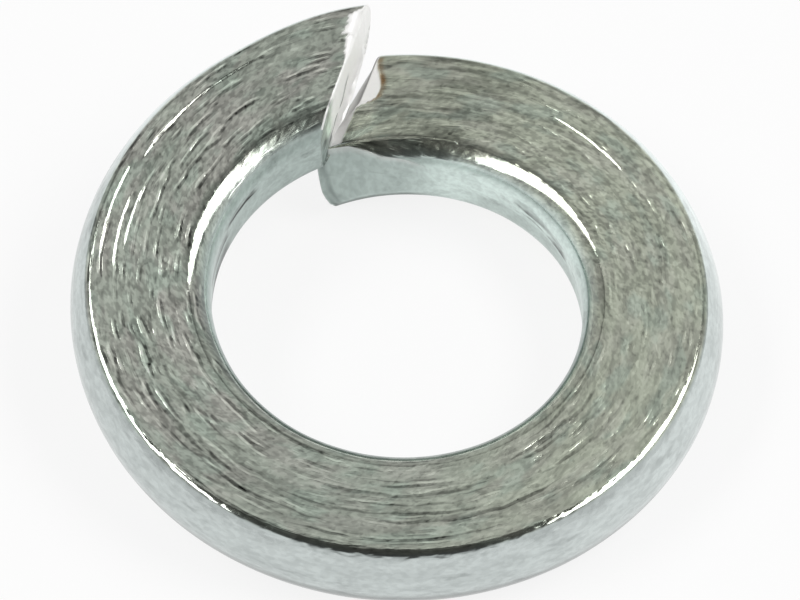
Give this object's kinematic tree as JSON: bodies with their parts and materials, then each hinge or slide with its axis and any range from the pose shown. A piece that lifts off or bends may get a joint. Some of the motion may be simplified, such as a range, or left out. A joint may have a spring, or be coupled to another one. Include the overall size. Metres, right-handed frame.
{
  "type": "spring lock washer",
  "caption": "Split spring lock washer: flat wire coiled round a screw hole, with slanted sheared ends that stand apart in height and grip under a nut or screw head.",
  "frame": {"origin": "on the screw axis, level with the lowest edge, which is on the lower end", "axes": "+Z along the screw axis towards the nut, +Y towards the slit"},
  "size_m": [0.0146, 0.0146, 0.0038],
  "materials": {
    "zinc_steel": "zinc-plated, with fine drawn lines along the wire"
  },
  "bodies": {
    "root": {"washer": "zinc_steel"}
  },
  "joints": []
}
